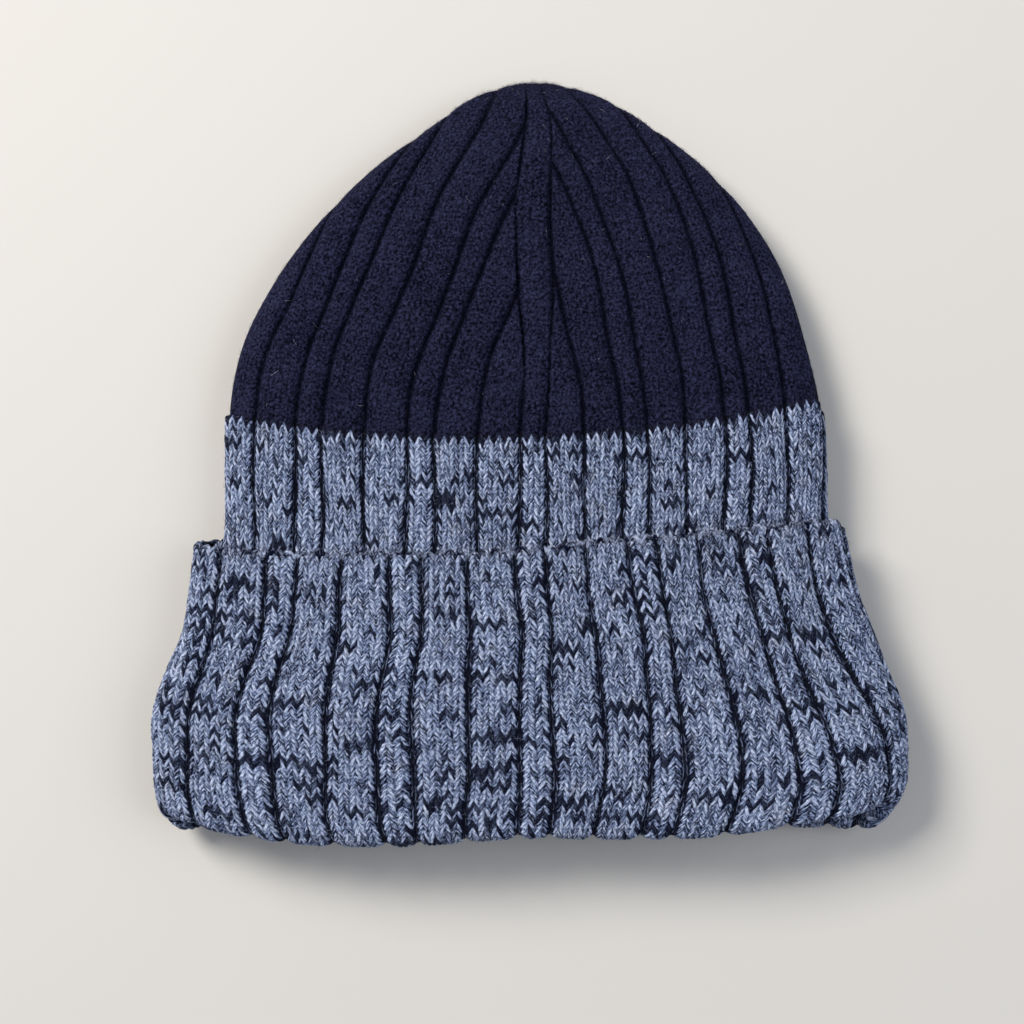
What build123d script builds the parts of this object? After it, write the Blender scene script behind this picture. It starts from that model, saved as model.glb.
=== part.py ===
"""A ribbed knit beanie lying flat, with its cuff turned up.

+X runs to the wearer's left side fold, +Y from the hem to the crown tip, +Z up from the table.
The origin is on the table under the middle of the hat. All sizes are in millimetres.
"""

from build123d import *
import os

os.makedirs("parts", exist_ok=True)

# Driving dimensions
knit = 3.2            # thickness of one layer of the rib knit
layer_gap = 0.25      # air between the cuff and the body behind it
moving_gap = 0.3      # air round the part of the cuff that lifts

tip_y = 110.0         # crown tip
colour_y = 9.0        # row where the navy yarn starts
cuff_top_y = -22.0    # free edge of the cuff
fold_y = -106.3       # where the layers turn into the rolled hem
hem_y = -110.0        # outermost line of the rolled hem

body_height = 18.4    # height of the flattened body at its side folds
cuff_height = 22.4    # the same over the cuff
rise = 1.6            # how much the front stands higher along the middle

edge_depth = 3.0      # cast-on edge, measured along the hat
edge_proud = 0.6      # how far the edge stands above the cuff
side_cut_x = 80.0     # where the front and back of the cuff end and its side folds start

tip_ring_radius = 2.6
tip_yarn = 1.4        # diameter of the closing yarn
ring_y = 92.0         # where the closing yarn gathers the inside of the tip
ring_z = 7.2
closing_tail = 24.0   # length of its loose end
seam_width = 3.0
seam_height = 1.4
seam_top_y = 87.5     # where the back seam reaches the gathered tip
seam_end_gap = 0.5    # what the seam stays short of at the hem and at the cuff

roll_half_length = 99.0   # the rolled hem stops short of the side folds

# Cutters reach this far past the faces that they cut through
past = 1.0
table_sink = 0.6      # how far an outer surface is sunk before it's cut level with the table

# Half widths along the hat: (y, half width, height at the side folds)
crown_sections = [
    (colour_y, 88.0, 18.4),
    (35.0, 82.0, 18.0),
    (60.0, 70.2, 17.0),
    (80.0, 53.5, 15.4),
    (95.0, 34.5, 13.6),
    (104.0, 20.0, 12.0),
    (tip_y, 8.0, 10.0),
]
band_sections = [
    (cuff_top_y, 88.6, body_height),
    (colour_y, 88.0, body_height),
]
cuff_sections = [
    (fold_y, 105.5, cuff_height),
    (-95.0, 108.2, cuff_height),
    (-78.0, 109.5, cuff_height),
    (-50.0, 100.5, cuff_height),
    (cuff_top_y - moving_gap, 93.0, cuff_height),
]


def flattened_sections(sections, inset, sink=0.0):
    """Faces of flattened sections, each pulled in by inset from the outer surface.

    sink pushes the underside below the table, so that a cut along the table leaves it flat.
    """
    faces = []
    for y, half_width, height in sections:
        low = inset - sink
        high = height - inset
        flat = half_width - height / 2
        outer = half_width - inset
        with BuildSketch(Plane.XZ.offset(-y)) as section:
            with BuildLine():
                Line((-flat, low), (flat, low))
                ThreePointArc((flat, low), (outer, (low + high) / 2), (flat, high))
                ThreePointArc((flat, high), (0, high + rise), (-flat, high))
                ThreePointArc((-flat, high), (-outer, (low + high) / 2), (-flat, low))
            make_face()
        faces.append(section.sketch.face())
    return faces


def stretched(sections, start=0.0, end=0.0):
    """The same sections with the first or last one moved out along Y, for a cutter."""
    first, last = sections[0], sections[-1]
    moved = [(first[0] - start, first[1], first[2])] if start else [first]
    moved += sections[1:-1]
    moved += [(last[0] + end, last[1], last[2])] if end else [last]
    return moved


# Navy crown: closed at the tip, open towards the body
past_tip = 5.0        # sections this near the tip are solid knit
with BuildPart() as crown_space:
    inner_crown = [(y, half, height) for y, half, height in crown_sections if y < tip_y - past_tip]
    loft(flattened_sections(stretched(inner_crown, start=past), knit))
with BuildPart() as crown_knit:
    loft(flattened_sections(crown_sections, 0.0, sink=table_sink))
    split(bisect_by=Plane.XY, keep=Keep.TOP)
    add(crown_space.part, mode=Mode.SUBTRACT)

# Marl band that shows between the crown and the cuff
with BuildPart() as band_space:
    loft(flattened_sections(stretched(band_sections, start=past, end=past), knit))
with BuildPart() as body_band:
    loft(flattened_sections(band_sections, 0.0, sink=table_sink))
    split(bisect_by=Plane.XY, keep=Keep.TOP)
    add(band_space.part, mode=Mode.SUBTRACT)

# The tube behind the cuff, a layer and a little air inside it
with BuildPart() as under_space:
    loft(flattened_sections(stretched(cuff_sections, start=past, end=past), 2 * knit + layer_gap))
with BuildPart() as under_cuff_band:
    loft(flattened_sections(cuff_sections, knit + layer_gap))
    add(under_space.part, mode=Mode.SUBTRACT)

# The whole cuff as a sleeve, cut below into its front, back and side folds
with BuildPart() as cuff_space:
    loft(flattened_sections(stretched(cuff_sections, start=past, end=past), knit))
with BuildPart() as cuff_sleeve:
    loft(flattened_sections(cuff_sections, 0.0, sink=table_sink))
    split(bisect_by=Plane.XY, keep=Keep.TOP)
    add(cuff_space.part, mode=Mode.SUBTRACT)

cuff_mid_y = (fold_y + cuff_top_y) / 2
cuff_length = cuff_top_y - fold_y
cuff_mid_z = cuff_height / 2
panel_width = 2 * (side_cut_x - moving_gap)

# The front lifts, so it also stays clear of the rolled hem and of the cast-on edge's own strip
front_start_y = fold_y + moving_gap
front_end_y = cuff_top_y - moving_gap - edge_depth
with BuildPart() as cuff_front:
    with BuildSketch(Plane.XY.offset(cuff_mid_z)):
        with Locations((0, (front_start_y + front_end_y) / 2)):
            Rectangle(panel_width, front_end_y - front_start_y)
    extrude(amount=cuff_height)
    add(cuff_sleeve.part, mode=Mode.INTERSECT)

with BuildPart() as cuff_back:
    with BuildSketch(Plane.XY.offset(-past)):
        with Locations((0, (fold_y + front_end_y) / 2)):
            Rectangle(2 * side_cut_x, front_end_y - fold_y)
    extrude(amount=cuff_mid_z + past)
    add(cuff_sleeve.part, mode=Mode.INTERSECT)

# Side folds of the cuff: all of the sleeve beyond each side cut
side_box = 40.0       # wider than a side fold
side_folds = {}
for fold_name, side in (("cuff_side_left", -1), ("cuff_side_right", 1)):
    with BuildPart() as side_fold:
        with BuildSketch(Plane.XY.offset(-past)):
            with Locations((side * (side_cut_x + side_box / 2), cuff_mid_y)):
                Rectangle(side_box, cuff_length)
        extrude(amount=cuff_height + rise + 2 * past)
        add(cuff_sleeve.part, mode=Mode.INTERSECT)
    side_folds[fold_name] = side_fold

# Rolled hem: half-round rolls where the front and the back layers turn into the cuff
front_roll_low = cuff_height - 2 * knit - layer_gap
front_roll_high = cuff_height + rise
back_roll_high = 2 * knit + layer_gap

hem_folds = {}
for roll_name, low, high in (
    ("hem_fold_front", front_roll_low, front_roll_high),
    ("hem_fold_back", 0.0, back_roll_high),
):
    with BuildPart() as hem_fold:
        with BuildSketch(Plane.YZ.offset(-roll_half_length)):
            with BuildLine():
                Line((fold_y, low), (fold_y, high))
                ThreePointArc((fold_y, high), (hem_y, (low + high) / 2), (fold_y, low))
            make_face()
        extrude(amount=2 * roll_half_length)
    hem_folds[roll_name] = hem_fold

# Cast-on edge along the cuff's free edge, a little prouder than the knit
edge_low = cuff_height - knit
edge_high = cuff_height + edge_proud
half = side_cut_x - moving_gap
domed_half = cuff_sections[-1][1] - cuff_height / 2
side_drop = rise * (half / domed_half) ** 2
with BuildPart() as cuff_edge_front:
    with BuildSketch(Plane.XZ.offset(-front_end_y)):
        with BuildLine():
            Line((-half, edge_low + rise - side_drop), (-half, edge_high + rise - side_drop))
            ThreePointArc(
                (-half, edge_high + rise - side_drop),
                (0, edge_high + rise),
                (half, edge_high + rise - side_drop),
            )
            Line((half, edge_high + rise - side_drop), (half, edge_low + rise - side_drop))
            ThreePointArc(
                (half, edge_low + rise - side_drop),
                (0, edge_low + rise),
                (-half, edge_low + rise - side_drop),
            )
        make_face()
    extrude(amount=-edge_depth)

with BuildPart() as cuff_edge_back:
    with BuildSketch(Plane.XY):
        with Locations((0, front_end_y + edge_depth / 2)):
            Rectangle(2 * side_cut_x, edge_depth)
    extrude(amount=knit)

# Closing yarn: a ring inside the tip and its end, lying along the inside of the crown
with BuildPart() as crown_draw_yarn:
    with BuildSketch(Plane.XZ.offset(-ring_y)):
        with Locations((0, ring_z)):
            Circle(tip_ring_radius + tip_yarn / 2)
            Circle(tip_ring_radius - tip_yarn / 2, mode=Mode.SUBTRACT)
    extrude(amount=tip_yarn)
    with BuildSketch(Plane.XZ.offset(-ring_y)):
        with Locations((tip_ring_radius, ring_z)):
            Circle(tip_yarn / 2)
    extrude(amount=closing_tail)

# Linked seam inside the centre back: one stretch up to the cuff, one from there to the crown
with BuildPart() as back_seam:
    with BuildSketch(Plane.XY.offset(2 * knit + layer_gap)):
        with Locations((0, cuff_mid_y)):
            Rectangle(seam_width, cuff_length - 2 * seam_end_gap)
    extrude(amount=seam_height)
    with BuildSketch(Plane.XY.offset(knit)):
        with Locations((0, (cuff_top_y + seam_end_gap + seam_top_y) / 2)):
            Rectangle(seam_width, seam_top_y - cuff_top_y - seam_end_gap)
    extrude(amount=seam_height)

pieces = {
    "crown_knit": crown_knit,
    "body_band": body_band,
    "under_cuff_band": under_cuff_band,
    "cuff_front": cuff_front,
    "cuff_back": cuff_back,
    **side_folds,
    **hem_folds,
    "cuff_edge_front": cuff_edge_front,
    "cuff_edge_back": cuff_edge_back,
    "crown_draw_yarn": crown_draw_yarn,
    "back_seam": back_seam,
}
for node_name, piece in pieces.items():
    piece.part.label = node_name
    export_step(piece.part, f"parts/{node_name}.step")
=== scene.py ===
"""A ribbed knit beanie with a turned-up cuff, lying flat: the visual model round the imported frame.

The fabric is worked out in millimetres, stitch by stitch, and written to meshes in metres.
u counts wales (columns of stitches) round the hat from the middle of the front, v counts courses
(rows) in the order they were knitted: from the cuff's free edge to the hem, and on to the crown.
"""

import math

import bpy
import numpy as np
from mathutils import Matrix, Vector


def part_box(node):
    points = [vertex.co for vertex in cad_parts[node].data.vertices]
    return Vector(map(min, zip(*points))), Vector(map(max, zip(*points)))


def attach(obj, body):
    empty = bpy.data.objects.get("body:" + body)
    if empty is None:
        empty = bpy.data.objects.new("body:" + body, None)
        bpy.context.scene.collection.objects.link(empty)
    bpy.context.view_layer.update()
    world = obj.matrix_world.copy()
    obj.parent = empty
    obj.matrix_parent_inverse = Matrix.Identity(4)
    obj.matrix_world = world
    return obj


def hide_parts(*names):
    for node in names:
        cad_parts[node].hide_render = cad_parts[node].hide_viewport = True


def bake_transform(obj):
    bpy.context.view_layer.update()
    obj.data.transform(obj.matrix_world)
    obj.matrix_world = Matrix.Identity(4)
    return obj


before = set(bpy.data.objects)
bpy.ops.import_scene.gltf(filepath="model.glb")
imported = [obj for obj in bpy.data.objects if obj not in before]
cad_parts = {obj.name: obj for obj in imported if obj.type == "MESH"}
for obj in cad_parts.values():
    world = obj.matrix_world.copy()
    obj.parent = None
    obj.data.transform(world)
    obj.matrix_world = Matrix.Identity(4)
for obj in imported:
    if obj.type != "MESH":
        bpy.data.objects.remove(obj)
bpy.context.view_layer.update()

MM = 0.001

# ---------------------------------------------------------------------------------------------
# Sizes, in millimetres, from the frame and from the knit itself
# ---------------------------------------------------------------------------------------------

tip_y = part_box("crown_knit")[1][1] / MM
colour_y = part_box("crown_knit")[0][1] / MM
hem_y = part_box("hem_fold_front")[0][1] / MM
cuff_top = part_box("cuff_front")[1][2] / MM

wale = 2.63                 # width of one wale in a wide rib
course = 1.9                # height of one course
leg_rise = 1.4              # courses that a stitch's leg climbs over half a wale
rib_depth = 1.55            # how far a rib stands above the groove
rib_shoulder = 3.3          # distance from a groove at which a rib has its full height
leg_depth = 0.42            # how far a stitch's leg stands above the gaps round it
relief = rib_depth + leg_depth
backing = 1.2               # fabric between a groove and the inner face

# One repeat of the rib: a narrow rib and two wide ones, each followed by one purl wale
narrow_width, wide_width, purl_width = 1.22, 1.0, 0.4
wale_widths = (
    [narrow_width] * 2 + [purl_width] + [wide_width] * 4 + [purl_width] + [wide_width] * 4
    + [purl_width]
)
repeat_wales = len(wale_widths)
repeats = 12
wales_round = repeats * repeat_wales
wale_edges = np.concatenate([[0.0], np.cumsum(wale_widths)])
repeat_width = wale_edges[-1]
groove_centres = np.array([
    (wale_edges[i] + wale_edges[i + 1]) / 2
    for i, width in enumerate(wale_widths) if width == purl_width
])
round_width = repeats * repeat_width

colour_v = 108.0            # course where the navy yarn starts
cuff_courses = 44.0         # courses from the cuff's free edge to the hem fold

fold_radius = 1.5           # of the groove bottoms as they turn at the hem
fold_reach = fold_radius + relief
fold_courses = math.pi * (fold_radius + relief / 2) / course
lining_courses = 3.0        # courses that go up inside the hem


def smooth_through(points):
    """A smooth function through (position, value) points, flat beyond the ends."""
    xs, ys = np.array(sorted(points), float).T
    slopes = np.gradient(ys, xs)

    def value(x):
        x = np.clip(x, xs[0], xs[-1])
        i = np.clip(np.searchsorted(xs, x) - 1, 0, len(xs) - 2)
        step = xs[i + 1] - xs[i]
        t = (x - xs[i]) / step
        a = (2 * t**3 - 3 * t**2 + 1) * ys[i] + (t**3 - 2 * t**2 + t) * step * slopes[i]
        b = (-2 * t**3 + 3 * t**2) * ys[i + 1] + (t**3 - t**2) * step * slopes[i + 1]
        return a + b

    return value


def ramp(x, start, end):
    """0 before start, 1 after end, smooth between."""
    t = np.clip((x - start) / (end - start), 0, 1)
    return t * t * (3 - 2 * t)


crown_end = tip_y + 2.0     # soft knit and fuzz reach a little past the solid tip

# Outlines of the hat in plan: the crown and body against the root of the distance to the tip,
# because the outline turns square to the hat's length there, and the cuff against y
def from_tip(y):
    return np.sqrt(np.maximum(crown_end + 0.3 - y, 0))


body_left = smooth_through([
    (from_tip(y), x) for y, x in (
        (crown_end, -4.0), (107, -19.0), (98, -31.2), (85, -48.2), (70, -63.0), (53, -75.5),
        (35, -84.6), (18, -88.4), (0, -88.6), (-22, -88.8), (-42, -91.5), (-58, -97.0),
        (-74, -103.5), (-90, -104.0), (-106, -101.0),
    )
])
body_right = smooth_through([
    (from_tip(y), x) for y, x in (
        (crown_end, 7.5), (107, 24.0), (98, 38.4), (85, 54.4), (70, 67.2), (55, 75.8),
        (35, 82.4), (18, 86.2), (0, 87.3), (-22, 87.5), (-42, 91.0), (-58, 97.5),
        (-74, 103.5), (-90, 103.5), (-106, 98.5),
    )
])
cuff_left = smooth_through([
    (-15, -96.5), (-24, -97.0), (-38, -98.6), (-50, -100.6), (-62, -105.6), (-73, -109.0),
    (-84, -108.8), (-97, -107.6), (-104, -105.0), (-110, -101.0),
])
cuff_right = smooth_through([
    (-15, 91.0), (-24, 92.8), (-38, 96.0), (-50, 100.6), (-62, 105.0), (-73, 108.8),
    (-84, 109.5), (-93, 108.8), (-100, 105.5), (-110, 99.0),
])

# The cuff's free edge and its hem, as y against the share of the half width from the middle
free_edge = smooth_through([
    (-1.0, -25.0), (-0.85, -26.7), (-0.4, -27.1), (0.0, -26.3), (0.15, -24.5), (0.5, -22.1),
    (0.8, -19.3), (1.0, -17.3),
])
hem_line = smooth_through([
    (-1.0, -101.5), (-0.93, -104.4), (-0.75, -108.2), (-0.4, -110.0), (0.0, -107.6),
    (0.3, -107.8), (0.55, -107.0), (0.75, -104.0), (0.92, -100.8), (1.0, -96.5),
])

# Heights of the flattened hat: the top of the crown and body, and how the body's underside
# lifts from the table to lie on the back of the cuff
body_top = smooth_through([
    (-106, 20.4), (-24, 20.6), (0, 20.0), (40, 19.6), (70, 18.0), (92, 15.4), (104, 12.2),
    (crown_end, 8.4),
])


def body_low(y):
    return 3.5 * (1 - ramp(y, -25.0, -5.0))


# Width of fabric taken out by decreases on each side of the front's middle rib, against y
eaten_left = smooth_through([
    (colour_y, 0.0), (25, 0.8), (35, 3.7), (44, 8.4), (57, 14.8), (77, 22.8), (91, 29.5),
    (tip_y, 36.0),
])
eaten_right = smooth_through([
    (colour_y, 0.0), (24, 2.5), (40, 6.5), (58, 11.0), (73, 15.0), (85, 19.6), (92, 24.0),
    (tip_y, 33.0),
])
# Half width of that middle rib, and where its middle lies
middle_rib = smooth_through([
    (colour_y, 3.73), (34, 4.0), (57, 5.4), (77, 5.0), (95, 4.2), (tip_y, 2.6),
])
middle_at = smooth_through([
    (colour_y, 1.8), (24, 3.3), (36, 3.4), (57, 1.2), (77, -1.0), (tip_y, -0.5),
])

# How far the ribs have slid round the hat, in millimetres, against the turn from the middle
rib_drift = smooth_through([
    (-0.5, 0.0), (-0.36, -2.0), (-0.21, -4.6), (-0.1, -1.6), (0.0, 1.8), (0.1, 1.6),
    (0.21, 1.4), (0.36, 0.6), (0.5, 0.0),
])


def waves(x, y, seed):
    """Slow unevenness between about -1 and 1."""
    a, b, c = np.sin(seed * 12.9), np.sin(seed * 7.3), np.sin(seed * 3.1)
    return (
        0.45 * np.sin(x / 21 + 9 * a) * np.cos(y / 27 + 5 * b)
        + 0.35 * np.sin(x / 37 + y / 19 + 7 * c)
        + 0.2 * np.sin(x / 11 - y / 15 + 4 * a)
    )


def scatter(i, j, seed):
    """A repeatable random value from 0 to 1 for each whole pair i, j."""
    mixed = np.sin(i * 127.1 + j * 311.7 + seed * 74.7) * 43758.5453
    return mixed - np.floor(mixed)


# ---------------------------------------------------------------------------------------------
# The knit: from wales to widths round the hat, and the relief of ribs and stitches
# ---------------------------------------------------------------------------------------------

def width_at(u):
    """Distance round the hat, in wide wales, from the middle of the front's middle rib."""
    turns, rest = np.divmod(u + 1.0, repeat_wales)
    in_repeat = np.interp(rest, np.arange(repeat_wales + 1), wale_edges)
    return turns * repeat_width + in_repeat - narrow_width


def wale_at(width):
    """The wale at a distance round the hat: width_at the other way."""
    turns, rest = np.divmod(width + narrow_width, repeat_width)
    return turns * repeat_wales + np.interp(rest, wale_edges, np.arange(repeat_wales + 1)) - 1.0


def groove_distance(u):
    """Distance to the middle of the nearest groove, in millimetres."""
    inside = np.mod(width_at(u) + narrow_width, repeat_width)
    away = np.abs(inside[..., None] - groove_centres)
    away = np.minimum(away, repeat_width - away)
    return away.min(axis=-1) * wale


def stitch_relief(u, v, rib=rib_depth, leg=leg_depth):
    """How far the surface stands above the groove bottoms at wale u and course v."""
    away = groove_distance(u)
    roundness = 1 - (1 - np.clip(away / rib_shoulder, 0, 1)) ** 2.2
    side = np.abs(np.mod(u, 1.0) - 0.5) * 2
    along = v - leg_rise * side
    across = np.sqrt(np.clip(np.sin(np.pi * side), 0, 1))
    bump = np.sqrt(np.clip(np.sin(np.pi * np.mod(along, 1.0)), 0, 1))
    loose = 0.75 + 0.5 * scatter(np.floor(u * 2), np.floor(along), 3)
    return rib * roundness + leg * loose * across * (0.4 + 0.6 * bump)


class Sections:
    """Flattened sections of the hat: where a distance round a section lies on it.

    A section is a closed curve, square-shouldered on top and flat underneath. Distances run
    from the middle of the top, to the right when positive.
    """

    steps = 1200

    def __init__(self, half_width, half_height):
        angle = np.linspace(np.pi / 2, -np.pi / 2, self.steps)
        power = np.where(angle > 0, 2 / 2.9, 2 / 4.0)
        self.across = np.abs(np.cos(angle)) ** power
        self.up = np.sign(np.sin(angle)) * np.abs(np.sin(angle)) ** power
        x = np.outer(half_width, self.across)
        z = np.outer(half_height, self.up)
        step = np.hypot(np.diff(x, axis=1), np.diff(z, axis=1))
        self.along = np.concatenate([np.zeros((len(x), 1)), np.cumsum(step, axis=1)], axis=1)
        self.half_round = self.along[:, -1]

    def place(self, distance):
        """(across, up) from -1 to 1 for distances, one row of them for each section."""
        round_it = 2 * self.half_round[:, None]
        distance = distance - round_it * np.round(distance / round_it)
        away = np.abs(distance)
        across = np.empty_like(away)
        up = np.empty_like(away)
        for row in range(len(away)):
            across[row] = np.interp(away[row], self.along[row], self.across)
            up[row] = np.interp(away[row], self.along[row], self.up)
        return across * np.sign(distance), up


drift_half_round = 184.0    # half way round the section that rib_drift was read on


def drifted(widths, half_round):
    """Distances round each section for widths in wide wales, with the ribs' drift."""
    turn = widths / round_width
    from_front = turn - np.round(turn)
    drift = np.outer(half_round / drift_half_round, rib_drift(from_front))
    return np.outer(half_round * 2, turn) + drift


def surface_normals(points):
    """Unit normals of a grid of points, to the left of its rows seen along its columns."""
    across = np.gradient(points, axis=1)
    along = np.gradient(points, axis=0)
    normal = np.cross(across, along)
    length = np.linalg.norm(normal, axis=2, keepdims=True)
    return normal / np.maximum(length, 1e-9)


class Fabric:
    """A grid of fabric: base points at the groove bottoms, normals out of the face, u and v."""

    def __init__(self, points, u, v, facing, share=1.0):
        self.points = points
        self.facing = facing        # 1 or -1, as the rows' and columns' order needs
        self.normals = surface_normals(points) * facing
        self.u = u
        self.v = v
        self.share = share

    def face(self, rib=rib_depth, leg=leg_depth):
        """The outer face, with its ribs and stitches, resting on the table where it meets it."""
        lift = stitch_relief(self.u, self.v, rib, leg) * self.share
        face = self.points + self.normals * lift[..., None]
        face[..., 2] = np.maximum(face[..., 2], 0.02)
        return face

    def back(self, step_rows, step_columns):
        """A coarser inner face, with the ribs of the reverse, and its u and v."""
        rows = spaced_steps(self.points.shape[0], step_rows)
        columns = spaced_steps(self.points.shape[1], step_columns)
        pick = np.ix_(rows, columns)
        points = self.points[pick] - self.normals[pick] * backing
        points[..., 2] = np.maximum(points[..., 2], 0.3)
        return points, self.u[pick], self.v[pick], rows, columns


def spaced_steps(count, step):
    """Every step-th index below count, and the last one."""
    steps = list(range(0, count - 1, step))
    return np.array(steps + [count - 1])


def hat_points(across, up, y):
    """Points of the body or the crown from their place in a section and their y."""
    place = from_tip(y)
    left = body_left(place) + relief
    right = body_right(place) - relief
    x = (left + right) / 2 + across * np.maximum((right - left) / 2, 0.4)
    low = body_low(y) + relief
    top = body_top(y) - relief
    puff = 0.55 * waves(x, y, 1) * np.clip(up, 0, 1) * ramp(crown_end - y, 0, 20)
    z = low + (up + 1) / 2 * (top - low) + puff
    return np.stack([x, y, z], axis=-1)


def hat_sections(y):
    """Sections of the body or the crown at the values of y."""
    place = from_tip(y)
    half_width = np.maximum((body_right(place) - body_left(place)) / 2 - relief, 0.4)
    half_height = (body_top(y) - body_low(y)) / 2 - relief
    return Sections(half_width, half_height)


def bowed(y, across, up):
    """y of a course where it crosses the front: lowest in the middle, and a little tilted."""
    front = ramp(up, -0.3, 0.6)
    bow = 9.0 * ramp(y, -70.0, colour_y) * ramp(crown_end - y, 0.0, 45.0)
    tilt = 2.5 * ramp(crown_end - y, 10.0, 60.0)
    return y + front * (bow * (np.abs(across) ** 2.2 - 0.45) + tilt * across)


def body_fabric(u_values, v_values):
    """The marl body from the hem to the colour change: columns at whole parts of wales."""
    middle_y = colour_y + (v_values - colour_v) * course
    sections = hat_sections(middle_y)
    distance = drifted(width_at(u_values), sections.half_round)
    distance += 0.4 * np.sin(v_values[:, None] / 5.0 + u_values * 0.47)
    across, up = sections.place(distance)
    y = bowed(middle_y[:, None] + 0 * across, across, up)
    u, v = np.meshgrid(u_values, v_values)
    return Fabric(hat_points(across, up, y), u, v, 1)


def crown_rows(step):
    """Values of y up the crown, evenly spaced along its outline."""
    place = np.linspace(from_tip(colour_y + 2.6), from_tip(crown_end - 0.1), 4000)
    y = crown_end + 0.3 - place**2
    x = body_left(place)
    along = np.concatenate([[0], np.cumsum(np.hypot(np.diff(x), np.diff(y)))])
    return np.interp(np.linspace(0, along[-1], int(along[-1] / step) + 1), along, y)


def crown_fabric(start, end, columns, step):
    """The navy crown between two shares of its way round, from -1 to 1 with 0 at mid front.

    Wales are worked out from the place on the crown, because decreases swallow them beside the
    middle ribs and along the side folds.
    """
    middle_y = crown_rows(step)
    sections = hat_sections(middle_y)
    share = np.linspace(start, end, columns)
    distance = np.outer(sections.half_round, share)
    across, up = sections.place(distance)
    y = bowed(middle_y[:, None] + 0 * across, across, up)
    points = hat_points(across, up, y)

    # where each point would be at the colour change, had nothing been decreased
    half_round = sections.half_round[:, None]
    from_front = np.where(np.abs(share) <= 0.5, distance, np.sign(share) * half_round - distance)
    from_rib = from_front - middle_at(middle_y)[:, None]
    rib_half = middle_rib(middle_y)[:, None]
    off_rib = np.abs(from_rib) - rib_half
    eaten = np.where(from_rib < 0, eaten_left(middle_y)[:, None], eaten_right(middle_y)[:, None])
    beside = np.sign(from_rib) * (middle_rib(colour_y) + eaten + off_rib)
    across_rib = from_rib / rib_half * middle_rib(colour_y)
    colour_line = np.where(off_rib > 0, beside, across_rib) + middle_at(colour_y)
    colour_line += 0.35 * np.sin(y / 9.0 + colour_line / 6.0) * ramp(middle_y, 12, 30)[:, None]
    turn = np.linspace(-0.55, 0.55, 1201)
    table = drifted(turn * round_width, np.array([colour_half_round]))[0]
    width = np.interp(colour_line, table, turn * round_width)
    u = wale_at(width) + np.where(np.abs(share) <= 0.5, 0, wales_round / 2)
    v = colour_v + (middle_y[:, None] - colour_y) / course + 0 * u

    # the last few rows draw the fabric in to the middle, where the closing yarn holds it
    centre = (points[-1].min(axis=0) + points[-1].max(axis=0)) / 2
    centre[0] = (body_left(0.5) + body_right(0.5)) / 2
    centre[2] = (body_low(crown_end) + body_top(crown_end)) / 2
    drawn = [centre + (points[-1] - centre) * k for k in (0.75, 0.5, 0.25, 0.04)]
    points = np.concatenate([points, drawn])
    u = np.concatenate([u, [u[-1]] * 4])
    v = np.concatenate([v, [v[-1] + k for k in (0.5, 1.0, 1.5, 2.0)]])
    fade = np.concatenate([ramp(crown_end - middle_y, -3.0, 10.0), [0.1, 0.08, 0.06, 0.03]])
    across = np.concatenate([across, [across[-1]] * 4])
    fade = fade[:, None] * (1 - 0.75 * ramp(np.abs(across), 0.88, 1.0))
    return Fabric(points, u, v, 1, fade)


colour_half_round = float(hat_sections(np.array([colour_y])).half_round[0])
back_edge_y = -23.0         # the cuff's free edge and its hem, along the back
back_hem_y = -107.0
rough_edge_y = -24.0        # the free edge, as near as the size of a section needs it


def cuff_points(across, up, y, offset):
    """Points of the cuff or of the lining it turns into, offset from the middle of its fold."""
    left = cuff_left(y) + fold_reach - offset
    right = cuff_right(y) - fold_reach + offset
    x = (left + right) / 2 + across * (right - left) / 2
    low = fold_reach - offset
    top = cuff_top + 0.4 - fold_reach + offset
    puff = (0.55 * waves(x, y, 1) + 0.45 * waves(x, y, 2)) * np.clip(up, 0, 1)
    z = low + (up + 1) / 2 * (top - low) + puff
    return np.stack([x, y, z], axis=-1)


def cuff_fabric(u_values, v_values):
    """The cuff from its free edge to the hem, round the fold and a little way up inside."""
    rows = len(v_values)
    down = np.clip(v_values / cuff_courses, 0, 1)
    turn = np.clip((v_values - cuff_courses) / fold_courses, 0, 1) * np.pi
    inside = np.clip(v_values - cuff_courses - fold_courses, 0, None) * course
    rough_y = rough_edge_y + down * (hem_y + fold_reach - rough_edge_y)
    half_width = (cuff_right(rough_y) - cuff_left(rough_y)) / 2 - relief
    half_height = np.full(rows, cuff_top / 2 - relief)
    sections = Sections(half_width, half_height)
    widths = width_at(u_values)
    distance = drifted(widths, sections.half_round)
    turn_share = widths / round_width
    turn_share = turn_share - np.round(turn_share)
    slide = 9.0 * ramp(turn_share, 0.08, 0.2) * ramp(turn_share, 0.42, 0.3)
    distance += np.outer(ramp(down, 0.35, 1.0), slide)
    distance += 0.5 * np.sin(v_values[:, None] / 6.0 + u_values * 0.47)
    across, up = sections.place(distance)
    front = ramp(up, -0.5, 0.5)
    edge_y = front * free_edge(across) + (1 - front) * back_edge_y
    fold_y = front * hem_line(across) + (1 - front) * back_hem_y + fold_reach
    y = edge_y + down[:, None] * (fold_y - edge_y)
    offset = fold_radius * np.cos(turn)[:, None]
    y = y - fold_radius * np.sin(turn)[:, None] + inside[:, None]
    u, v = np.meshgrid(u_values, v_values)
    return Fabric(cuff_points(across, up, y, offset), u, v, -1)


# ---------------------------------------------------------------------------------------------
# Meshes
# ---------------------------------------------------------------------------------------------

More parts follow.
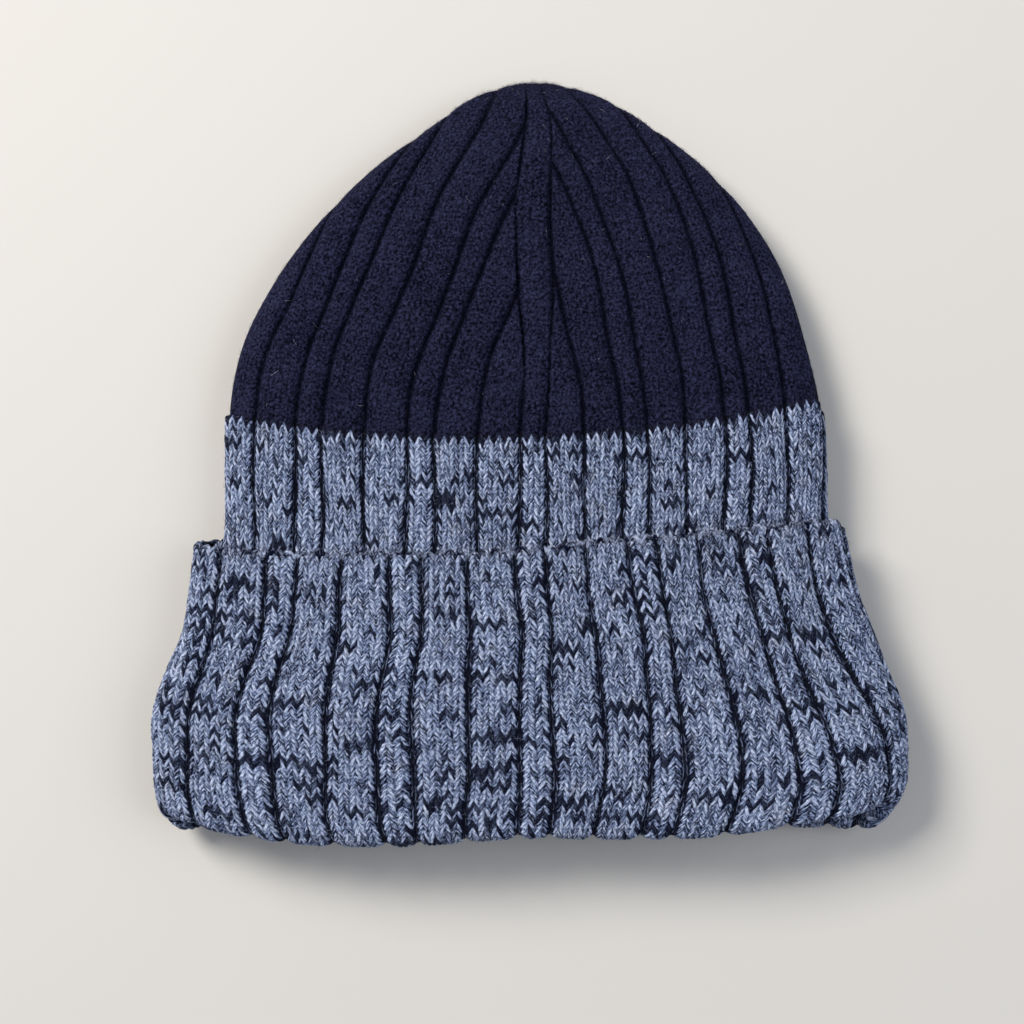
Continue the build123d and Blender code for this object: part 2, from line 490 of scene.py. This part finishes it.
def new_mesh(name, points, faces, knit):
    """A smooth mesh object from points in millimetres and a list of arrays of faces."""
    mesh = bpy.data.meshes.new(name)
    mesh.vertices.add(len(points))
    mesh.vertices.foreach_set("co", (points * MM).astype(np.float32).ravel())
    corners = np.concatenate([f.ravel() for f in faces])
    sizes = np.concatenate([np.full(len(f), f.shape[1]) for f in faces])
    starts = np.concatenate([[0], np.cumsum(sizes)[:-1]])
    mesh.loops.add(len(corners))
    mesh.loops.foreach_set("vertex_index", corners.astype(np.int32))
    mesh.polygons.add(len(sizes))
    mesh.polygons.foreach_set("loop_start", starts.astype(np.int32))
    mesh.polygons.foreach_set("use_smooth", np.ones(len(sizes), bool))
    mesh.update(calc_edges=True)
    mesh.validate()
    attribute = mesh.attributes.new("knit", "FLOAT_VECTOR", "POINT")
    attribute.data.foreach_set("vector", knit.astype(np.float32).ravel())
    piece = bpy.data.objects.new(name, mesh)
    bpy.context.scene.collection.objects.link(piece)
    return piece


def grid_quads(rows, columns, start=0, flip=False):
    """Quads of a grid of points stored row by row."""
    index = start + np.arange(rows * columns).reshape(rows, columns)
    quads = np.stack([index[:-1, :-1], index[:-1, 1:], index[1:, 1:], index[1:, :-1]], axis=-1)
    quads = quads.reshape(-1, 4)
    return quads[:, ::-1] if flip else quads


def rim(fine, coarse, fine_at, flip):
    """Triangles that join a fine border to a coarse one; fine_at says where coarse points sit."""
    faces = []
    for k in range(len(coarse) - 1):
        middle = (fine_at[k] + fine_at[k + 1]) // 2
        for j in range(fine_at[k], fine_at[k + 1]):
            anchor = coarse[k] if j < middle else coarse[k + 1]
            faces.append((fine[j], fine[j + 1], anchor))
        faces.append((fine[middle], coarse[k + 1], coarse[k]))
    faces = np.array(faces)
    return faces[:, ::-1] if flip else faces


def sheet_piece(name, fabric, leg=leg_depth):
    """A closed piece of fabric: the stitched face, a coarser back and rims round its borders."""
    face = fabric.face(rib_depth, leg)
    back, back_u, back_v, at_rows, at_columns = fabric.back(step_rows=6, step_columns=5)
    rows, columns = face.shape[:2]
    fine = np.arange(rows * columns).reshape(rows, columns)
    coarse = rows * columns + np.arange(back.shape[0] * back.shape[1]).reshape(back.shape[:2])
    flip = fabric.facing < 0
    faces = [
        grid_quads(rows, columns, 0, flip),
        grid_quads(back.shape[0], back.shape[1], rows * columns, not flip),
        rim(fine[0], coarse[0], at_columns, not flip),
        rim(fine[-1], coarse[-1], at_columns, flip),
        rim(fine[:, 0], coarse[:, 0], at_rows, flip),
        rim(fine[:, -1], coarse[:, -1], at_rows, not flip),
    ]
    # the knit attribute's third part, 0 in a groove and 1 on a rib, sets the painted groove shade in
    # the materials; the back's is 0.6
    lift = stitch_relief(fabric.u, fabric.v, 1.0, 0.0)
    knit = np.concatenate([
        np.stack([fabric.u, fabric.v, lift], axis=-1).reshape(-1, 3),
        np.stack([back_u, back_v, np.full(back_u.shape, 0.6)], axis=-1).reshape(-1, 3),
    ])
    points = np.concatenate([face.reshape(-1, 3), back.reshape(-1, 3)])
    return new_mesh(name, points, faces, knit)


# ---------------------------------------------------------------------------------------------
# Materials
# ---------------------------------------------------------------------------------------------

class Nodes:
    """A short way to write a material's nodes."""

    def __init__(self, name):
        self.material = bpy.data.materials.new(name)
        self.material.use_nodes = True
        self.tree = self.material.node_tree
        self.shader = self.tree.nodes["Principled BSDF"]

    def new(self, kind, **settings):
        node = self.tree.nodes.new(kind)
        for key, value in settings.items():
            setattr(node, key, value)
        return node

    def put(self, socket, value):
        if isinstance(value, bpy.types.NodeSocket):
            self.tree.links.new(value, socket)
        else:
            socket.default_value = value

    def math(self, operation, a, b=0.0, c=0.0):
        node = self.new("ShaderNodeMath", operation=operation)
        for socket, value in zip(node.inputs, (a, b, c)):
            self.put(socket, value)
        return node.outputs[0]

    def vector(self, x, y, z):
        node = self.new("ShaderNodeCombineXYZ")
        for socket, value in zip(node.inputs, (x, y, z)):
            self.put(socket, value)
        return node.outputs[0]

    def mix(self, share, a, b):
        node = self.new("ShaderNodeMix", data_type="RGBA")
        self.put(node.inputs["Factor"], share)
        self.put(node.inputs["A"], a)
        self.put(node.inputs["B"], b)
        return node.outputs["Result"]

    def step(self, value, low, high):
        node = self.new("ShaderNodeMapRange", interpolation_type="SMOOTHSTEP")
        self.put(node.inputs["Value"], value)
        self.put(node.inputs["From Min"], low)
        self.put(node.inputs["From Max"], high)
        return node.outputs["Result"]

    def times(self, a, b):
        return self.math("MULTIPLY", a, b)

    def swayed(self, value, chance, amount):
        """value, moved half of amount down when chance is 0 and half of it up when it's 1."""
        return self.math("MULTIPLY_ADD", self.math("SUBTRACT", chance, 0.5), amount, value)

    def knit(self):
        """The three parts of the mesh's knit attribute."""
        parts = self.new("ShaderNodeSeparateXYZ")
        knit = self.new("ShaderNodeAttribute", attribute_name="knit").outputs["Vector"]
        self.put(parts.inputs[0], knit)
        return parts.outputs

    def place(self):
        """The place on the object, in metres."""
        return self.new("ShaderNodeTexCoord").outputs["Object"]

    def noise(self, vector, scale, detail=2.0):
        node = self.new("ShaderNodeTexNoise")
        self.put(node.inputs["Vector"], vector)
        self.put(node.inputs["Scale"], scale)
        self.put(node.inputs["Detail"], detail)
        return node.outputs["Fac"]

    def random(self, vector):
        node = self.new("ShaderNodeTexWhiteNoise")
        self.put(node.inputs["Vector"], vector)
        return node.outputs["Value"]

    def bump(self, layers):
        """Fine relief: a list of heights from 0 to 1, each with its full height in metres."""
        normal = None
        for height, distance in layers:
            node = self.new("ShaderNodeBump")
            node.inputs["Distance"].default_value = distance
            self.put(node.inputs["Height"], height)
            if normal is not None:
                self.put(node.inputs["Normal"], normal)
            normal = node.outputs["Normal"]
        self.put(self.shader.inputs["Normal"], normal)


class Stitch:
    """Sockets for a place in the knit: its wale, course row and place on a stitch's leg."""

    def __init__(self, m, looseness):
        # lift, 0 in a groove and 1 on a rib, is what the painted groove shade is read from
        u, v, self.lift = m.knit()
        self.u = m.swayed(u, m.noise(m.vector(u, v, 1.0), 0.8, 1.0), 0.5 * looseness)
        self.leg = m.math("FLOOR", m.times(self.u, 2.0))
        slip = m.math("SUBTRACT", m.noise(m.vector(u, v, 9.0), 1.1, 1.0), 0.5)
        slip = m.swayed(slip, m.random(m.vector(self.leg, 3.0, 5.0)), 1.3)
        self.v = m.math("MULTIPLY_ADD", slip, looseness, v)
        centred = m.math("SUBTRACT", m.math("FRACT", self.u), 0.5)
        self.side = m.times(m.math("ABSOLUTE", centred), 2.0)
        self.along = m.math("SUBTRACT", self.v, m.times(self.side, leg_rise))
        self.row = m.math("FLOOR", self.along)
        self.turn = m.math("FRACT", self.along)
        self.chance = m.random(m.vector(self.leg, self.row, 7.0))
        # the leg is a slanting lens: round in the middle and drawn to a point at both ends
        swell = m.math("POWER", m.math("SINE", m.times(self.side, math.pi)), 0.75)
        half = m.times(swell, m.math("MULTIPLY_ADD", self.chance, 0.16, 0.46))
        away = m.math("ABSOLUTE", m.math("SUBTRACT", self.turn, 0.5))
        out = m.math("DIVIDE", away, m.math("ADD", half, 0.02))
        # body is 1 on a leg and 0 in the gaps; it shapes the bump and the painted shade between legs
        self.body = m.math("SUBTRACT", 1.0, m.step(out, 0.55, 1.1))
        # fibres run along the leg, and every leg has its own
        across = m.math("MULTIPLY_ADD", self.turn, 7.0, m.times(self.row, 13.7))
        lengthwise = m.math("MULTIPLY_ADD", self.side, 2.2, m.times(self.leg, 3.3))
        self.fibre = m.noise(m.vector(across, lengthwise, 0.0), 1.0, 2.0)


# navy_dark and marl_dark are the yarns' darkest tones, and also the painted shade that grooves and
# the gaps between legs are darkened towards
navy_dark = (0.0006, 0.0006, 0.0048, 1)
navy_light = (0.0270, 0.0285, 0.0700, 1)
marl_dark = (0.0012, 0.0020, 0.0130, 1)
marl_light = (0.2350, 0.3050, 0.5200, 1)
marl_grey = (0.2350, 0.2750, 0.4000, 1)
marl_pale = (0.6400, 0.7150, 0.9200, 1)


def navy_colour(m, s):
    """Navy yarn: near black in the grooves, as painted shade; a little lighter where fibres catch
    the light.
    """
    place = m.place()
    cloud = m.noise(place, 70.0, 2.0)
    speck = m.noise(place, 1300.0, 3.0)
    tone = m.math("MULTIPLY_ADD", cloud, 0.35, m.times(speck, 2.0))
    # painted shade: the leg bodies come out a little lighter than the gaps between legs
    tone = m.math("MULTIPLY_ADD", s.body, 0.10, tone)
    tone = m.step(tone, 0.85, 1.75)
    # painted shade: near black down in the grooves, with an uneven border
    navy_groove_shade = m.swayed(s.lift, m.noise(place, 620.0, 2.0), 0.9)
    return m.mix(m.times(tone, m.step(navy_groove_shade, 0.05, 0.75)), navy_dark, navy_light)


def marl_colour(m, s, lighter):
    """Light blue and navy plies that trade places along each course, with painted shade in the
    grooves and between stitch legs.
    """
    wale_place = m.times(s.leg, 0.5)

    def runs(across, along, layer, detail=0.0):
        """Uneven patches over the knit, with their frequency across wales and along them."""
        at = m.vector(m.times(wale_place, across), m.times(s.row, along), layer)
        return m.noise(at, 1.0, detail)

    tone = m.math("MULTIPLY_ADD", runs(0.12, 5.3, 0.0), 0.55, m.times(runs(0.45, 9.1, 4.0), 0.45))
    tone = m.swayed(tone, s.chance, 0.13)
    light = m.step(tone, 0.375 - lighter, 0.435 - lighter)
    # the plies and loose fibres of one leg, and dark flecks of the navy ply in a light stretch
    twist = m.math("MULTIPLY_ADD", s.side, 0.8, s.chance)
    twist = m.math("ADD", m.times(s.turn, 1.9), twist)
    ply = m.math("MULTIPLY_ADD", m.math("SINE", m.times(twist, 2 * math.pi)), 0.5, 0.5)
    fleck = m.noise(m.place(), 1300.0, 2.0)
    strand = m.math("MULTIPLY_ADD", ply, 0.35, m.math("MULTIPLY_ADD", s.fibre, 2.4, -1.0))
    strand = m.math("ADD", strand, m.math("MULTIPLY_ADD", fleck, 1.6, -0.75))
    strand = m.swayed(strand, s.chance, 0.5)
    share = m.times(m.math("MULTIPLY_ADD", light, 0.88, 0.12), strand)
    # painted shade: the light share falls to 0.4 of itself in the gaps between stitch legs
    share = m.times(share, m.math("MULTIPLY_ADD", s.body, 0.6, 0.4))
    # painted shade: the grooves are darkened, with uneven borders that follow the stitches
    marl_groove_shade = m.math("ADD", s.lift, m.math("MULTIPLY_ADD", s.body, 0.25, -0.15))
    marl_groove_shade = m.swayed(marl_groove_shade, s.chance, 0.35)
    share = m.times(share, m.math("MULTIPLY_ADD", m.step(marl_groove_shade, 0.18, 0.8), 0.95, 0.05))
    greyer = m.step(runs(0.5, 0.4, 8.0, detail=1.0), 0.48, 0.8)
    light_yarn = m.mix(greyer, marl_light, marl_grey)
    near = m.mix(m.step(share, -0.02, 0.40), marl_dark, light_yarn)
    return m.mix(m.step(share, 0.36, 0.92), near, marl_pale)


def edge_colour(m):
    """The marl yarn seen along its length: light and navy plies wound round each other."""
    along, turn, _ = m.knit()
    twist = m.math("MULTIPLY_ADD", along, 0.55, turn)
    ply = m.math("SINE", m.times(twist, 2 * math.pi))
    run = m.noise(m.vector(m.times(along, 0.25), 3.0, 0.0), 1.0, 1.0)
    fleck = m.noise(m.place(), 1300.0, 2.0)
    strand = m.noise(m.vector(m.times(along, 0.9), m.times(turn, 9.0), 5.0), 1.0, 1.0)
    share = m.math("MULTIPLY_ADD", ply, 0.2, m.math("MULTIPLY_ADD", fleck, 2.0, -1.0))
    share = m.math("ADD", share, m.math("MULTIPLY_ADD", run, 4.0, -1.95))
    share = m.math("ADD", share, m.math("MULTIPLY_ADD", strand, 2.6, -1.3))
    near = m.mix(m.step(share, -0.25, 0.7), marl_dark, marl_grey)
    return m.mix(m.step(share, 0.6, 1.6), near, marl_pale)


def fuzz_material(name, kind):
    """Loose fibres: the yarn's own colours, and now and then a pale stray one."""
    m = Nodes(name)
    chance = m.knit()[0]
    if kind == "navy":
        colour = m.mix(chance, (0.006, 0.006, 0.022, 1), (0.035, 0.038, 0.095, 1))
        colour = m.mix(m.step(chance, 0.994, 0.996), colour, (0.50, 0.50, 0.55, 1))
    else:
        dark, light = (0.012, 0.016, 0.050, 1), (0.36, 0.43, 0.62, 1)
        colour = m.mix(m.step(chance, 0.25, 0.7), dark, light)
    m.put(m.shader.inputs["Base Color"], colour)
    m.shader.inputs["Roughness"].default_value = 0.8
    m.shader.inputs["Specular IOR Level"].default_value = 0.2
    return m.material


def fabric_material(name, kind):
    """Yarn: matt, with a soft sheen from loose fibres."""
    m = Nodes(name)
    sheen, sheen_tint = 0.04, (0.8, 0.87, 1.0, 1)
    if kind == "edge":
        colour = edge_colour(m)
        m.bump([(m.noise(m.place(), 1500.0, 3.0), 0.0004)])
    else:
        s = Stitch(m, 0.1 if kind == "navy" else 0.27)
        fuzz = m.noise(m.place(), 1000.0, 3.0)
        if kind == "navy":
            colour = navy_colour(m, s)
            m.bump([(fuzz, 0.0011), (s.body, 0.0001)])
            sheen, sheen_tint = 0.06, (0.30, 0.36, 0.80, 1)
        else:
            colour = marl_colour(m, s, 0.034 if kind == "band" else 0.0)
            if kind == "band":
                changed = m.step(s.along, colour_v - 0.06, colour_v + 0.06)
                colour = m.mix(changed, colour, navy_colour(m, s))
            m.bump([(s.fibre, 0.0006), (fuzz, 0.0004), (s.body, 0.0004)])
    m.put(m.shader.inputs["Base Color"], colour)
    m.shader.inputs["Roughness"].default_value = 0.92
    m.shader.inputs["Specular IOR Level"].default_value = 0.05
    m.shader.inputs["Sheen Weight"].default_value = sheen
    m.shader.inputs["Sheen Roughness"].default_value = 0.45
    m.shader.inputs["Sheen Tint"].default_value = sheen_tint
    return m.material


# ---------------------------------------------------------------------------------------------
# Build
# ---------------------------------------------------------------------------------------------

navy = fabric_material("navy_yarn", "navy")
marl = fabric_material("marl_yarn", "marl")
band = fabric_material("marl_yarn_to_navy", "band")

per_wale = 8
per_course = 6


def wales(start, end, steps):
    """Columns from one wale to another, steps to a wale."""
    return np.linspace(start, end, int(round((end - start) * steps)) + 1)


side_wale = wales_round / 4
back_wale = wales_round / 2


opened_out = 1.05           # how much wider the rib gets when it's spread flat


def flat_of(wale_count, course_count):
    """Width and length of a flat piece of the knit, in metres, with its ribs opened out."""
    return (wale_count * wale * opened_out * MM, course_count * course * MM)


def finish_piece(piece, material, body, nodes):
    """A piece's material, body and the nodes it replaces.

    body is "hat" for a piece that goes on the hat's body; LEFT or RIGHT, for the cuff's front, only
    bakes the piece's place into its mesh.
    """
    piece.data.materials.append(material)
    if body == "hat":
        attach(piece, "hat")
    else:
        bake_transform(piece)
    if nodes:
        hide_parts(*nodes)


body_v = colour_v - 20.0                # course where the cuff has long since hidden the body
tuck_v = colour_v - 110.0 / course      # course where the fabric turns into the hem
finer = per_wale
coarser = per_wale // 2

LEFT, RIGHT = -1, 1

FRONT = (-side_wale, side_wale)
BACK = (side_wale, 3 * side_wale)

cuff_v = wales(0.0, cuff_courses, per_course)
cuff_v_back = wales(0.0, cuff_courses, per_course // 2)
hem_end = cuff_courses + fold_courses + lining_courses
hem_v = wales(cuff_courses, hem_end, per_course)
hem_v_back = wales(cuff_courses, hem_end, per_course // 2)
band_end = colour_v + 1.5               # a little past the colour change, under the crown
band_v = wales(body_v, band_end, per_course)
band_v_back = wales(body_v, band_end, per_course // 2)
tuck_rows = wales(tuck_v, body_v, 2)

marl_pieces = [
    ("body_front", body_fabric, FRONT, finer, band_v, band, "hat", ["body_band"]),
    ("body_back", body_fabric, BACK, coarser, band_v_back, band, "hat", ["body_band"]),
    ("tuck_front", body_fabric, FRONT, coarser, tuck_rows, marl, "hat", ["under_cuff_band"]),
    ("tuck_back", body_fabric, BACK, coarser, tuck_rows, marl, "hat", ["under_cuff_band"]),
    ("cuff_front_left", cuff_fabric, (-side_wale, 0), finer, cuff_v, marl, LEFT,
     ["cuff_front", "cuff_side_left"]),
    ("cuff_front_right", cuff_fabric, (0, side_wale), finer, cuff_v, marl, RIGHT,
     ["cuff_front", "cuff_side_right"]),
    ("cuff_under", cuff_fabric, BACK, coarser, cuff_v_back, marl, "hat",
     ["cuff_back", "cuff_side_left", "cuff_side_right"]),
    ("hem_front", cuff_fabric, FRONT, finer, hem_v, marl, "hat", ["hem_fold_front"]),
    ("hem_back", cuff_fabric, BACK, coarser, hem_v_back, marl, "hat", ["hem_fold_back"]),
]
fabrics = {}
for name, knitted, (start, end), steps, v_values, material, body, nodes in marl_pieces:
    fabric = knitted(wales(start, end, steps), v_values)
    fabrics[name] = fabric
    piece = sheet_piece(name, fabric)
    finish_piece(piece, material, body, nodes)

crown_leg = 0.16            # the brushed crown hides most of its stitches
crown_step = 0.45
crown_columns = int(180 / crown_step)
crown_courses = 60
crown_quarters = [
    ("crown_front_left", -0.5, 0.0, crown_columns // 2),
    ("crown_front_right", 0.0, 0.5, crown_columns // 2),
    ("crown_back_right", 0.5, 1.0, crown_columns // 4),
    ("crown_back_left", -1.0, -0.5, crown_columns // 4),
]
for name, start, end, columns in crown_quarters:
    fabric = crown_fabric(start, end, columns, crown_step)
    fabrics[name] = fabric
    piece = sheet_piece(name, fabric, leg=crown_leg)
    finish_piece(piece, navy, "hat", ["crown_knit"])
    width, length = flat_of(side_wale, crown_courses)       # decreases leave 0.62 of this


def tube_piece(name, path, out, radius, sides, measure):
    """A yarn along a path. out points away from the fabric. The attribute is (mm, turn, 1)."""
    ahead = np.gradient(path, axis=0)
    ahead /= np.linalg.norm(ahead, axis=1, keepdims=True)
    side = np.cross(ahead, out)
    side /= np.linalg.norm(side, axis=1, keepdims=True)
    up = np.cross(side, ahead)
    turn = np.linspace(0, 1, sides + 1)[:-1]
    angle = 2 * np.pi * turn
    radius = np.broadcast_to(radius, len(path))
    ring = up[:, None] * np.cos(angle)[None, :, None] + side[:, None] * np.sin(angle)[None, :, None]
    points = path[:, None] + ring * radius[:, None, None]
    rows = len(path)
    index = np.arange(rows * sides).reshape(rows, sides)
    after = np.roll(index, -1, axis=1)
    quads = np.stack([index[:-1], after[:-1], after[1:], index[1:]], axis=-1).reshape(-1, 4)
    knit = np.stack([
        np.broadcast_to(measure[:, None], (rows, sides)),
        np.broadcast_to(turn[None, :], (rows, sides)),
        np.ones((rows, sides)),
    ], axis=-1).reshape(-1, 3)
    faces = [quads[:, ::-1], index[:1][:, ::-1], index[-1:]]
    return new_mesh(name, points.reshape(-1, 3), faces, knit)


def fuzz_piece(name, fabric, count, length, seed, leg=leg_depth, edge_share=0.0):
    """Loose fibres that stand off a fabric's face. Their attribute is (chance, place along, 1).

    edge_share of them grow from the first two courses, along the cuff's free edge.
    """
    random = np.random.default_rng(seed)
    face = fabric.face(rib_depth, leg)
    rows, columns = face.shape[:2]
    row = random.integers(2, rows - 2, count)
    row[:int(count * edge_share)] = random.integers(2, 2 * per_course, int(count * edge_share))
    column = random.integers(2, columns - 2, count)
    base = face[row, column]
    normal = fabric.normals[row, column]
    ahead = face[row, column + 1] - base
    ahead /= np.maximum(np.linalg.norm(ahead, axis=1, keepdims=True), 1e-6)
    beside = np.cross(normal, ahead)
    turn = random.uniform(0, 2 * np.pi, count)[:, None]
    heading = ahead * np.cos(turn) + beside * np.sin(turn)
    sideways = np.cross(normal, heading)
    reach = (length * random.uniform(0.5, 1.5, count))[:, None]
    lean = random.uniform(0.25, 0.75, count)[:, None]
    curl = random.uniform(-0.5, 0.5, count)[:, None]
    thickness = random.uniform(0.028, 0.05, count)
    steps = np.linspace(0, 1, 5)
    spine = np.stack([
        base + reach * (heading * t + normal * lean * (t - 0.65 * t * t) + sideways * curl * t * t)
        - normal * 0.1
        for t in steps
    ], axis=1)
    spine[..., 2] = np.maximum(spine[..., 2], 0.15)
    taper = 1 - 0.75 * steps
    corner = np.arange(3) * 2 * np.pi / 3
    ring = (
        normal[:, None, None] * np.cos(corner)[None, None, :, None]
        + sideways[:, None, None] * np.sin(corner)[None, None, :, None]
    )
    points = spine[:, :, None] + ring * (thickness[:, None] * taper)[:, :, None, None]
    index = np.arange(count * len(steps) * 3).reshape(count, len(steps), 3)
    after = np.roll(index, -1, axis=2)
    quads = np.stack([index[:, :-1], after[:, :-1], after[:, 1:], index[:, 1:]], axis=-1)
    chance = np.broadcast_to(random.uniform(0, 1, count)[:, None, None], index.shape)
    along = np.broadcast_to(steps[None, :, None], index.shape)
    knit = np.stack([chance, along, np.ones(index.shape)], axis=-1)
    return new_mesh(name, points.reshape(-1, 3), [quads.reshape(-1, 4)], knit.reshape(-1, 3))


def edge_path(start, end, steps):
    """The cast-on yarn along the cuff's free edge: a small arch over each stitch."""
    u_values = wales(start, end, steps)
    rows = cuff_fabric(u_values, np.array([0.0, 1.0]))
    low = stitch_relief(rows.u[:1], rows.v[:1], rib_depth, 0.0)[0]
    base = rows.points[0] + rows.normals[0] * (low + 0.05)[:, None]
    down = rows.points[1] - rows.points[0]
    down /= np.linalg.norm(down, axis=1, keepdims=True)
    arch = np.abs(np.sin(np.pi * u_values)) ** 0.8
    loose = scatter(np.floor(u_values), 0, 5)
    at_fold = np.abs(np.mod(u_values, back_wale) - side_wale)
    height = (1.5 + 0.9 * loose) * (1 - 0.6 * ramp(at_fold, 5.0, 0.0))
    path = base - down * (arch * height - 0.9)[:, None]
    path += rows.normals[0] * (0.35 * np.cos(2 * np.pi * u_values) - 0.35)[:, None]
    return path, rows.normals[0], u_values * wale


edge_yarn = fabric_material("cast_on_yarn", "edge")
for name, start, end, body, nodes in (
    ("cast_on_left", -side_wale, 0, LEFT, ["cuff_edge_front"]),
    ("cast_on_right", 0, side_wale, RIGHT, ["cuff_edge_front"]),
    ("cast_on_back", side_wale, 3 * side_wale, "hat", ["cuff_edge_back"]),
):
    path, out, measure = edge_path(start, end, 12)
    piece = tube_piece(name, path, out, 0.55, 8, measure)
    finish_piece(piece, edge_yarn, body, nodes)

navy_fuzz = fuzz_material("navy_fibres", "navy")
marl_fuzz = fuzz_material("marl_fibres", "marl")
for name, grown_on, count, length, body, edge_share in (
    ("fuzz_crown_left", "crown_front_left", 8000, 1.5, "hat", 0.0),
    ("fuzz_crown_right", "crown_front_right", 8000, 1.5, "hat", 0.0),
    ("fuzz_crown_back_left", "crown_back_left", 900, 1.5, "hat", 0.0),
    ("fuzz_crown_back_right", "crown_back_right", 900, 1.5, "hat", 0.0),
    ("fuzz_body", "body_front", 3400, 1.5, "hat", 0.0),
    ("fuzz_cuff_left", "cuff_front_left", 4200, 1.5, LEFT, 0.1),
    ("fuzz_cuff_right", "cuff_front_right", 4200, 1.5, RIGHT, 0.1),
    ("fuzz_hem", "hem_front", 1200, 1.2, "hat", 0.0),
):
    on_crown = grown_on.startswith("crown")
    leg = crown_leg if on_crown else leg_depth
    piece = fuzz_piece(name, fabrics[grown_on], count, length, len(name) + count, leg, edge_share)
    if on_crown:
        finish_piece(piece, navy_fuzz, body, [])
    else:
        finish_piece(piece, marl_fuzz, body, [])

# Inside the hat: the yarn that closes the crown and the yarn that sews the back seam
closing_low, closing_high = (np.array(corner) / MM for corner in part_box("crown_draw_yarn"))
seam_low, seam_high = (np.array(corner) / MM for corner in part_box("back_seam"))
turns = np.linspace(0, 1, 240)
angle = turns * 4 * np.pi
tail = ramp(turns, 0.7, 1.0)
closing_path = np.stack([
    (closing_low[0] + closing_high[0]) / 2 + 1.6 * np.cos(angle) * (1 - 0.6 * tail),
    closing_high[1] - 0.8 - 20.0 * tail,
    (closing_low[2] + closing_high[2]) / 2 + 2.0 * np.sin(angle) * (1 - tail) - 2.0 * tail,
], axis=-1)
coil_out = np.array([[0.0, 1.0, 0.05]])
piece = tube_piece("closing_yarn_coil", closing_path, coil_out, 0.6, 8, turns * 60)
finish_piece(piece, navy, "hat", ["crown_draw_yarn"])

along = np.linspace(seam_low[1] + 1, seam_high[1] - 1, 700)
seam_path = np.stack([
    0.9 * np.sin(2 * np.pi * along / (2 * course)),
    along,
    np.interp(along, [seam_low[1], colour_y, seam_high[1]], [7.0, 4.4, 4.4]),
], axis=-1)
piece = tube_piece("seam_yarn_line", seam_path, np.array([[0.0, 0.0, 1.0]]), 0.35, 6, along)
finish_piece(piece, edge_yarn, "hat", ["back_seam"])

# ---------------------------------------------------------------------------------------------
# Floor, light and camera
# ---------------------------------------------------------------------------------------------

def make_floor():
    mesh = bpy.data.meshes.new("floor")
    reach = 3.0
    corners = [(-reach, -reach, 0), (reach, -reach, 0), (reach, reach, 0), (-reach, reach, 0)]
    mesh.from_pydata(corners, [], [(0, 1, 2, 3)])
    floor = bpy.data.objects.new("floor", mesh)
    bpy.context.scene.collection.objects.link(floor)
    m = Nodes("floor_paint")
    m.shader.inputs["Base Color"].default_value = (0.62, 0.60, 0.57, 1)
    m.shader.inputs["Roughness"].default_value = 0.8
    floor.data.materials.append(m.material)


def make_light(name, place, target, size, power, colour):
    light = bpy.data.lights.new(name, "AREA")
    light.size = size
    light.energy = power
    light.color = colour
    lamp = bpy.data.objects.new(name, light)
    lamp.location = place
    lamp.rotation_mode = "QUATERNION"
    lamp.rotation_quaternion = (Vector(target) - Vector(place)).to_track_quat("-Z", "Y")
    bpy.context.scene.collection.objects.link(lamp)


def make_camera():
    data = bpy.data.cameras.new("camera")
    camera = bpy.data.objects.new("camera", data)
    bpy.context.scene.collection.objects.link(camera)
    centre = Vector((-0.0049, -0.0145, 0.012))
    distance = 0.5
    seen_width = 0.297      # of the plane through the centre
    data.sensor_width = 36.0
    data.lens = 36.0 * distance / seen_width
    camera.location = centre + Vector((0.0, -0.012, distance))
    camera.rotation_mode = "QUATERNION"
    camera.rotation_quaternion = (centre - camera.location).to_track_quat("-Z", "Y")
    data.clip_start = 0.01
    bpy.context.scene.camera = camera


make_floor()
make_light("key", (-1.15, 0.95, 1.20), (0, 0, 0), 0.75, 46.0, (1.0, 0.96, 0.90))
make_light("fill", (1.3, 0.1, 1.3), (0, 0, 0), 1.4, 13.0, (0.88, 0.93, 1.0))
make_camera()
world = bpy.data.worlds.new("studio")
world.use_nodes = True
world.node_tree.nodes["Background"].inputs["Color"].default_value = (0.85, 0.90, 1.0, 1)
world.node_tree.nodes["Background"].inputs["Strength"].default_value = 0.32
bpy.context.scene.world = world
bpy.context.scene.view_settings.view_transform = "Standard"
